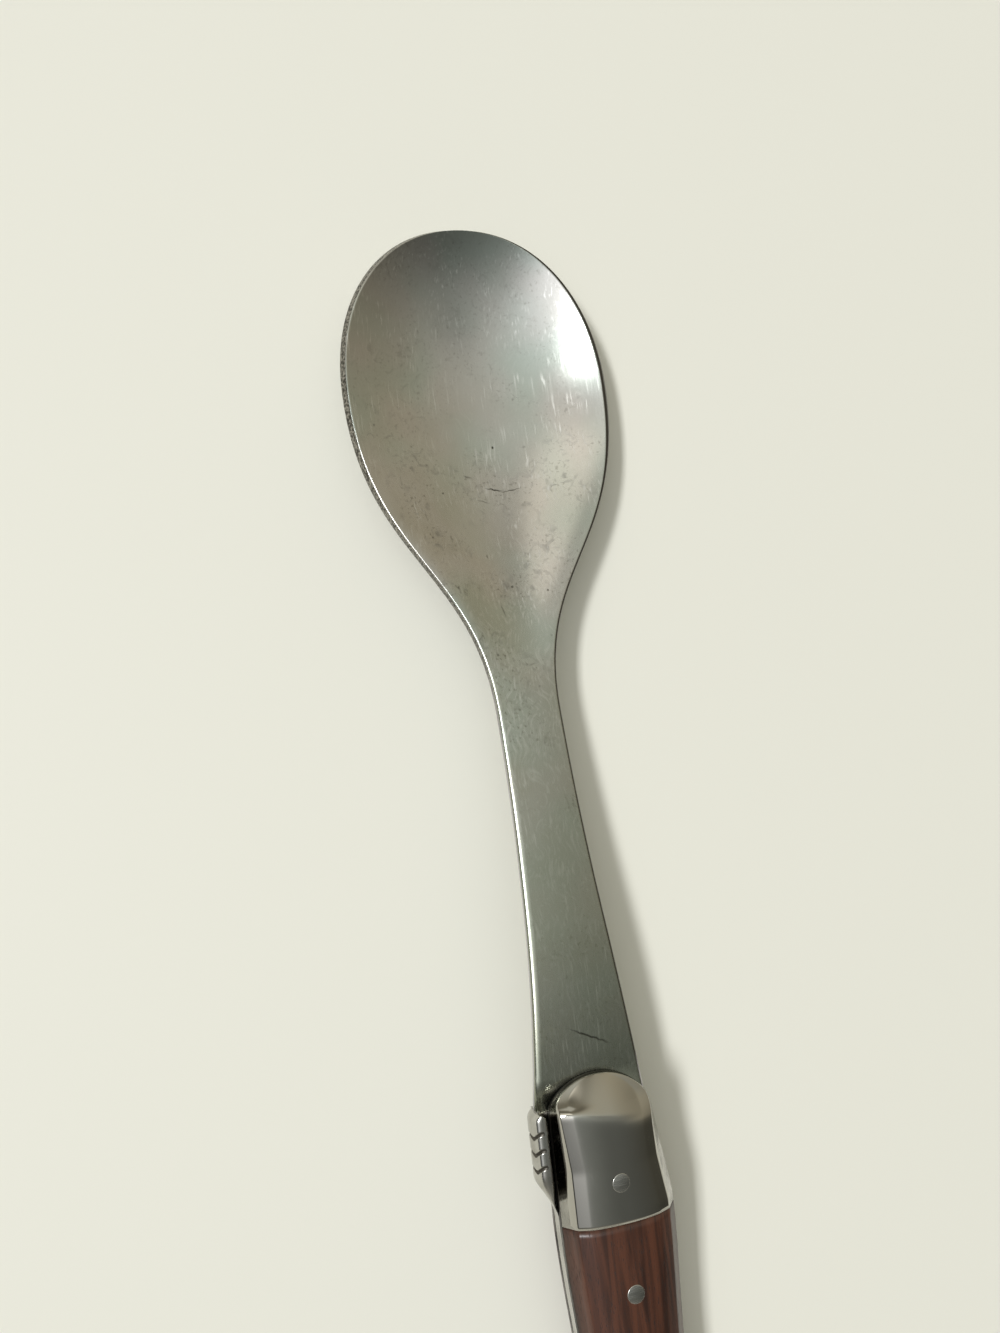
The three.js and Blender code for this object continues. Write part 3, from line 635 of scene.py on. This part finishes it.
cut_rows = [row for row, (start, end) in enumerate(zip(stations, stations[1:]))
            if groove_cut((start + end) / 2) > shade_from * groove_depth]
bar = skin([spring_section(back) for back in stations],
           lambda column, row: column in crown_columns and row in cut_rows)
spring = make_piece(bar, "filed_back_spring", spring_steel, painted_shade_in_cuts)
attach(spring, "root")
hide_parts("back_spring")

# Liners: two thin stainless plates either side of the tang and the spring, with the round nose of the
# bolsters. They are blanked from strip, so their edges are only lightly broken.
seat_gap = 0.1 * mm
liner = 1.15 * mm
liner_bottom = sheet / 2 + seat_gap
liner_break = 0.12 * mm
nose_radius = 10.6 * mm
nose_offset = -0.75 * mm
corner_blend = 0.9 * mm
sharp = math.radians(60)
level = 0.01 * mm


def nose_half_width(back):
    return math.sqrt(max(0, nose_radius ** 2 - (nose_radius - min(back, nose_radius)) ** 2))


def blend_low(one, other, reach):
    """The lower of two edges, rounded off where they cross."""
    near = max(0, reach - abs(one - other)) / reach
    return min(one, other) - near * near * reach / 4


def back_edge(back):
    if back >= nose_radius:
        return body_back(back)
    return blend_low(nose_offset + nose_half_width(back), body_back(back), corner_blend)


def belly_edge(back):
    if back >= nose_radius:
        return body_belly(back)
    return -blend_low(nose_half_width(back) - nose_offset, -body_belly(back), corner_blend)


# Blanked liner steel: left dull and coloured almost black, as painted shade in the seams, so that it reads as
# a dark line.
seam_shade_size = 4 * mm
liner_steel_painted_shade, tree = new_finish("painted_shade_liner_steel")
place = add(tree, "TexCoord", {}).outputs["Object"]
seam_shade = add(tree, "TexNoise", {"Vector": place, "Scale": 1 / seam_shade_size, "Detail": 3})
seam_shade = add(tree, "MapRange", {"Value": seam_shade, "From Min": 0.35, "From Max": 0.7})
steel = add(tree, "Mix", {"Factor": seam_shade, "A": colour("#55514b"), "B": colour("#1b1916")}, data_type="RGBA")
gloss = add(tree, "MapRange", {"Value": seam_shade, "To Min": 0.3, "To Max": 0.55})
shader = add(tree, "BsdfPrincipled", {"Base Color": steel, "Metallic": 1, "Roughness": gloss})
add(tree, "OutputMaterial", {"Surface": shader})

nose_rows = 60
side_rows = 60
butt_rows = 24
nose_stations = crowd(nose_flat, nose_radius, nose_rows)
side_stations = spread(nose_radius, butt_start, side_rows)[1:-1]
butt_stations = crowd(butt_end, butt_start, butt_rows)[::-1]
stations = nose_stations + side_stations + butt_stations
outline = [Vector((-back, back_edge(back), 0)) for back in stations]
outline += [Vector((-back, belly_edge(back), 0)) for back in reversed(stations)]
for face, name in ((1, "upper_liner"), (-1, "lower_liner")):
    bm = bmesh.new()
    ring = bmesh.ops.create_circle(bm, cap_ends=True, segments=len(outline), radius=1)["verts"]
    for vert, point in zip(ring, outline):
        vert.co = point + Vector((0, 0, face * liner_bottom))
    grown = bmesh.ops.extrude_face_region(bm, geom=bm.faces[:])["geom"]
    raised = [item for item in grown if isinstance(item, bmesh.types.BMVert)]
    bmesh.ops.translate(bm, verts=raised, vec=(0, 0, face * liner))
    rims = [edge for edge in bm.edges if edge.calc_face_angle(0) > sharp
            and abs(edge.verts[0].co.z - edge.verts[1].co.z) < level]
    bmesh.ops.bevel(bm, geom=rims, offset=liner_break, offset_type="OFFSET", affect="EDGES", segments=2,
                    profile=0.5, material=-1, clamp_overlap=True)
    plate = make_piece(bm, f"blanked_{name}", liner_steel_painted_shade)
    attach(plate, "root")
    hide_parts(name)

# Bolsters: solid stainless caps riveted over the front of the liners, ground to a dome with a bevelled edge
# and a sloping front, then mirror polished.
grip_bottom = liner_bottom + liner + seat_gap
grip_height = 4.05 * mm
grip_top = grip_bottom + grip_height
wall_height = 2.55 * mm
nose_lean = 0.4 * mm
body_lean = 1.9 * mm
body_lean_from = 14 * mm
edge_width = 1.9 * mm
brow_rise = 0.45
crown_fullness = 2.6
ramp_foot = 0.4 * mm
ramp_length = 6.1 * mm
ramp_skew = 0.2
ramp_least_run = 1.3 * mm
foot_follows_nose = 0.78
ramp_rounding = 0.1
ramp_bulge = 0.22
arris = 0.16 * mm
arris_steps = 4
dome_steps = 24


def bezier(start, turn, end, steps):
    return [start.lerp(turn, t).lerp(turn.lerp(end, t), t) for t in spread(0, 1, steps)]


def round_corner(before, corner, after, radius, steps):
    first = corner + (before - corner).normalized() * min(radius, (before - corner).length / 2)
    last = corner + (after - corner).normalized() * min(radius, (after - corner).length / 2)
    return bezier(first, corner, last, steps)


def grip_profile(half, side, lean, height_at):
    """Half of a cross-section of the handle's face: its wall, bevel and dome."""
    low = height_at(side * half) / grip_height
    narrow = min(1, half / (waist_width / 2))
    foot = Vector((half, 0))
    wall = Vector((half - lean * low * narrow, wall_height * low))
    brow = wall + Vector((-edge_width * narrow, edge_width * brow_rise * low))
    crown = []
    for x in spread(brow.x, 0, dome_steps):
        share = 1 - (x / brow.x) ** crown_fullness
        crown.append(Vector((x, lerp(brow.y, height_at(side * x), share))))
    size = arris * narrow
    return ([foot] + round_corner(foot, wall, brow, size, arris_steps)
            + round_corner(wall, brow, crown[2], size * 2, arris_steps) + crown[2:-1])


def grip_section(back, height_at):
    """A ring round a bolster or a scale, from its spring edge over the dome to its belly edge."""
    middle = lerp(nose_offset, (body_back(back) + body_belly(back)) / 2, clamp(back / nose_radius))
    lean = lerp(nose_lean, body_lean, clamp(back / body_lean_from))
    halves = (back_edge(back) - middle, 1), (middle - belly_edge(back), -1)
    points = [[Vector((-back, middle + side * point.x, grip_bottom + point.y))
               for point in grip_profile(half, side, lean, height_at)] for half, side in halves]
    ridge = Vector((-back, middle, grip_bottom + height_at(0)))
    return points[0] + [ridge] + points[1][::-1]


def ramp_height(back):
    """Heights across the bolster: a ramp from its round nose up to a straight, slightly skewed crease."""
    def at(y):
        foot = foot_follows_nose * (nose_radius - math.sqrt(max(0, nose_radius ** 2 - y ** 2)))
        run = max(ramp_least_run, ramp_length - ramp_skew * y - foot)
        share = max(0, back - foot) / run
        over = share - (1 - ramp_rounding)
        rise = share if over <= 0 else 1 - ramp_rounding * math.exp(-over / ramp_rounding)
        rise += ramp_bulge * max(0, share - share ** 2)
        return lerp(ramp_foot, grip_height, rise)
    return at


# Mirror-polished stainless: it shows the room almost sharply, under faint finger smears and hairlines.
finger_size = 3.5 * mm
polish_width = 0.25 * mm
polish_stretch = 20
polished_steel, tree = new_finish("mirror_polished_stainless")
place = add(tree, "TexCoord", {}).outputs["Object"]
smear = add(tree, "TexNoise", {"Vector": place, "Scale": 1 / finger_size, "Detail": 3, "Distortion": 0.5})
gloss = add(tree, "MapRange", {"Value": smear, "From Min": 0.4, "From Max": 0.7,
                               "To Min": 0.05, "To Max": 0.13})
lengthwise = add(tree, "Mapping", {"Vector": place, "Scale": (1 / polish_stretch, 1, 1)})
hairline = add(tree, "TexNoise", {"Vector": lengthwise, "Scale": 1 / polish_width, "Detail": 1})
hairline = add(tree, "MapRange", {"Value": hairline, "From Min": 0.6, "From Max": 0.75, "To Max": 0.08})
gloss = add(tree, "Math", {0: gloss, 1: hairline})
shader = add(tree, "BsdfPrincipled", {"Base Color": colour("#b3b0a8"), "Metallic": 1, "Roughness": gloss})
add(tree, "OutputMaterial", {"Surface": shader})

bolster_rows = 24
stations = nose_stations + spread(nose_radius, bolster_length, bolster_rows)[1:]
for face, name in ((1, "upper_bolster"), (-1, "lower_bolster")):
    bm = skin([grip_section(back, ramp_height(back)) for back in stations])
    bmesh.ops.scale(bm, vec=(1, 1, face), verts=bm.verts)
    bolster = make_piece(bm, f"domed_{name}", polished_steel)
    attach(bolster, "root")
    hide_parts(name)

# Scales: two slabs of dark, close-grained hardwood, shaped in one with the bolsters and oiled. They roll
# down to the rounded butt.
butt_roll = 9 * mm
butt_height = 2.2 * mm


def roll_height(back):
    share = clamp((back - handle_length + butt_roll) / butt_roll)
    height = lerp(butt_height, grip_height, math.sqrt(1 - share ** 2))
    return lambda y: height


# Oiled dark hardwood: a deep red-brown with darker bands and fine open pores that run the handle's length.
band_width = 1.6 * mm
band_stretch = 28
pore_width = 0.14 * mm
pore_stretch = 36
dark_wood, tree = new_finish("oiled_dark_hardwood")
place = add(tree, "TexCoord", {}).outputs["Object"]
drawn = add(tree, "Mapping", {"Vector": place, "Scale": (1 / band_stretch, 1, 0.5)})
band = add(tree, "TexNoise", {"Vector": drawn, "Scale": 1 / band_width, "Detail": 3, "Distortion": 0.8})
band = add(tree, "MapRange", {"Value": band, "From Min": 0.36, "From Max": 0.64})
wood = add(tree, "Mix", {"Factor": band, "A": colour("#2f1a12"), "B": colour("#553223")}, data_type="RGBA")
drawn = add(tree, "Mapping", {"Vector": place, "Scale": (1 / pore_stretch, 1, 1)})
pore = add(tree, "TexNoise", {"Vector": drawn, "Scale": 1 / pore_width, "Detail": 1})
pore = add(tree, "MapRange", {"Value": pore, "From Min": 0.62, "From Max": 0.72, "To Max": 0.75})
wood = add(tree, "Mix", {"Factor": pore, "A": wood, "B": colour("#150b07")}, data_type="RGBA")
gloss = add(tree, "MapRange", {"Value": pore, "To Min": 0.36, "To Max": 0.68})
relief = add(tree, "MapRange", {"Value": pore, "To Min": 1, "To Max": 0})
relief = add(tree, "Bump", {"Height": relief, "Distance": 0.04 * mm, "Strength": 0.4})
shader = add(tree, "BsdfPrincipled", {"Base Color": wood, "Roughness": gloss, "Normal": relief})
add(tree, "OutputMaterial", {"Surface": shader})

scale_rows = 60
stations = spread(bolster_length + side_gap, butt_start, scale_rows)[:-1] + butt_stations
for face, name in ((1, "upper_scale"), (-1, "lower_scale")):
    bm = skin([grip_section(back, roll_height(back)) for back in stations])
    bmesh.ops.scale(bm, vec=(1, 1, face), verts=bm.verts)
    scale = make_piece(bm, f"wooden_{name}", dark_wood)
    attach(scale, "root")
    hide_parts(name)

# Pins: steel rod through the whole stack, its ends hammered into the countersunk faces and ground flush,
# so that only a faint ring shows.
pin_radius = 1.5 * mm
pin_dome = 0.05 * mm
pin_break = 0.12 * mm
pin_sides = 48
pin_places = {"bolster_pin": bolster_pin_at, "front_scale_pin": 34.2 * mm, "middle_scale_pin": 58.1 * mm,
              "rear_scale_pin": 82 * mm}

# Ground steel rod end: plain and softly bright, crossed by the fine marks of the last grinding.
ground_width = 0.2 * mm
ground_stretch = 12
pin_steel, tree = new_finish("ground_pin_steel")
place = add(tree, "TexCoord", {}).outputs["Object"]
crosswise = add(tree, "Mapping", {"Vector": place, "Scale": (1, 1 / ground_stretch, 1)})
ground = add(tree, "TexNoise", {"Vector": crosswise, "Scale": 1 / ground_width, "Detail": 1})
gloss = add(tree, "MapRange", {"Value": ground, "From Min": 0.4, "From Max": 0.7,
                               "To Min": 0.16, "To Max": 0.32})
shader = add(tree, "BsdfPrincipled", {"Base Color": colour("#bdbbb5"), "Metallic": 1, "Roughness": gloss})
add(tree, "OutputMaterial", {"Surface": shader})

for name, back in pin_places.items():
    bm = bmesh.new()
    bmesh.ops.create_cone(bm, cap_ends=True, segments=pin_sides, radius1=pin_radius, radius2=pin_radius,
                          depth=2 * (grip_top + pin_dome))
    rims = [edge for edge in bm.edges if edge.calc_face_angle(0) > sharp]
    bmesh.ops.bevel(bm, geom=rims, offset=pin_break, offset_type="OFFSET", affect="EDGES", segments=3,
                    profile=0.5, material=-1)
    bmesh.ops.translate(bm, verts=bm.verts, vec=(-back, (body_back(back) + body_belly(back)) / 2, 0))
    pin = make_piece(bm, f"flush_{name}", pin_steel)
    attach(pin, "root")
    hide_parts(name)

# Table top: the flat board that the spoon lies on, pressed from chips and faced with pale matt laminate. The
# spoon's shadow falls on it.
table_reach = 2
bm = bmesh.new()
bmesh.ops.create_grid(bm, x_segments=1, y_segments=1, size=table_reach)
floor_data = bpy.data.meshes.new("table_top")
bm.to_mesh(floor_data)
bm.free()
floor = bpy.data.objects.new("table_top", floor_data)
bpy.context.collection.objects.link(floor)
laminate, tree = new_finish("pale_laminate")
shader = add(tree, "BsdfPrincipled", {"Base Color": colour("#e6e4d9"), "Roughness": 0.6})
add(tree, "OutputMaterial", {"Surface": shader})
floor_data.materials.append(laminate)

# Light: a soft room with a pale ceiling, a window and a wall past either end, dim above the handle, and one
# lamp on the spring's side that throws the shadow. A pale backdrop stands all round behind the table, and the
# camera sees only its tone past the table's edge.

# Each glow: where it lies, how narrow it is, its colour and its strength; each dim ends with its depth
glows = {"ceiling": ((0.1, 0.06, 0.99), 11, "#cad0cd", 1),
         "lamp_shade": ((-0.05, 0.38, 0.92), 50, "#d4d9dd", 1),
         "lamp_side": ((-0.27, 0.5, 0.82), 70, "#f4f4f8", 1.3),
         "window": ((0.64, 0.37, 0.67), 150, "#fff9ec", 1.62),
         "window_reveal": ((0.42, 0.26, 0.87), 77, "#6f6961", 1),
         "far_wall": ((0.73, -0.55, 0.41), 5, "#c4bba4", 1),
         "near_wall": ((-0.97, 0.05, 0.24), 16, "#b9b6ab", 1)}
dims = {"above_handle": ((-0.37, -0.31, 0.87), 36, 0.3), "above_shaft": ((0.02, -0.31, 0.95), 220, 0.28),
        "past_the_tip": ((0.9, -0.25, 0.38), 55, 0.6)}
backdrop_top = 0.2
backdrop_full = 0.1
world = bpy.data.worlds.new("soft_room")
bpy.context.scene.world = world
world.use_nodes = True
tree = world.node_tree
toward = add(tree, "TexCoord", {}).outputs["Generated"]


def patch(aim, narrowness):
    """A round patch of the room, 1 where it is aimed and soft at its edge."""
    facing = add(tree, "VectorMath", {0: toward, 1: Vector(aim).normalized()}, operation="DOT_PRODUCT")
    facing = add(tree, "MapRange", {"Value": facing, "From Min": -1})
    return add(tree, "Math", {0: facing, 1: narrowness}, operation="POWER")


room = colour("#1f2423")[:3]
for aim, narrowness, code, strength in glows.values():
    glow = [strength * channel for channel in colour(code)[:3]]
    room = add(tree, "VectorMath", {0: patch(aim, narrowness), 1: glow, 2: room}, operation="MULTIPLY_ADD")
for aim, narrowness, depth in dims.values():
    dimmed = add(tree, "MapRange", {"Value": patch(aim, narrowness), "To Min": 1, "To Max": 1 - depth})
    room = add(tree, "VectorMath", {0: room, 1: dimmed}, operation="MULTIPLY")
height = add(tree, "SeparateXYZ", {"Vector": toward}).outputs["Z"]
backdrop = add(tree, "MapRange", {"Value": height, "From Min": backdrop_top, "From Max": backdrop_full})
seen = add(tree, "LightPath", {}).outputs["Is Camera Ray"]
backdrop = add(tree, "Math", {0: backdrop, 1: seen}, operation="MAXIMUM")
room = add(tree, "Mix", {"Factor": backdrop, "A": room, "B": colour("#dedcd0")}, data_type="RGBA")
tree.links.new(room.outputs["Result"], tree.nodes["Background"].inputs["Color"])

lamp_far = 8
lamp_length = 0.3 * lamp_far
lamp_width = 0.105 * lamp_far
lamp_power = 7 * lamp_far ** 2
lamp_aim = Vector((0.07, 0.485, 0.66)).normalized()
lamp_data = bpy.data.lights.new("lamp", "AREA")
lamp_data.shape = "RECTANGLE"
lamp_data.size = lamp_length
lamp_data.size_y = lamp_width
lamp_data.energy = lamp_power
lamp_data.color = colour("#fbfdff")[:3]
lamp = bpy.data.objects.new("lamp", lamp_data)
lamp.matrix_world = lamp_aim.to_track_quat("Z", "Y").to_matrix().to_4x4()
lamp.matrix_world.translation = lamp_aim * lamp_far
lamp.visible_camera = False
bpy.context.collection.objects.link(lamp)

# Camera: held by hand over the spring's side of the shaft, looking down at the head, with the spoon upright
# in the frame and the handle running out of it.
eye = Vector((17.59, 54.53, 189.82)) * mm
aim = Vector((43.62, 0.93, 0)) * mm
turn = math.radians(-8)
sensor = 36
focal_share = 1050 / 1333
forward = (aim - eye).normalized()
right = forward.cross(Vector((math.cos(turn), math.sin(turn), 0))).normalized()
up = right.cross(forward)
lens_data = bpy.data.cameras.new("camera")
lens_data.sensor_width = sensor
lens_data.lens = sensor * focal_share
lens_data.clip_start = 0.01
camera = bpy.data.objects.new("camera", lens_data)
camera.matrix_world = Matrix.Translation(eye) @ Matrix((right, up, -forward)).transposed().to_4x4()
bpy.context.collection.objects.link(camera)
bpy.context.scene.camera = camera
bpy.context.scene.view_settings.view_transform = "Standard"
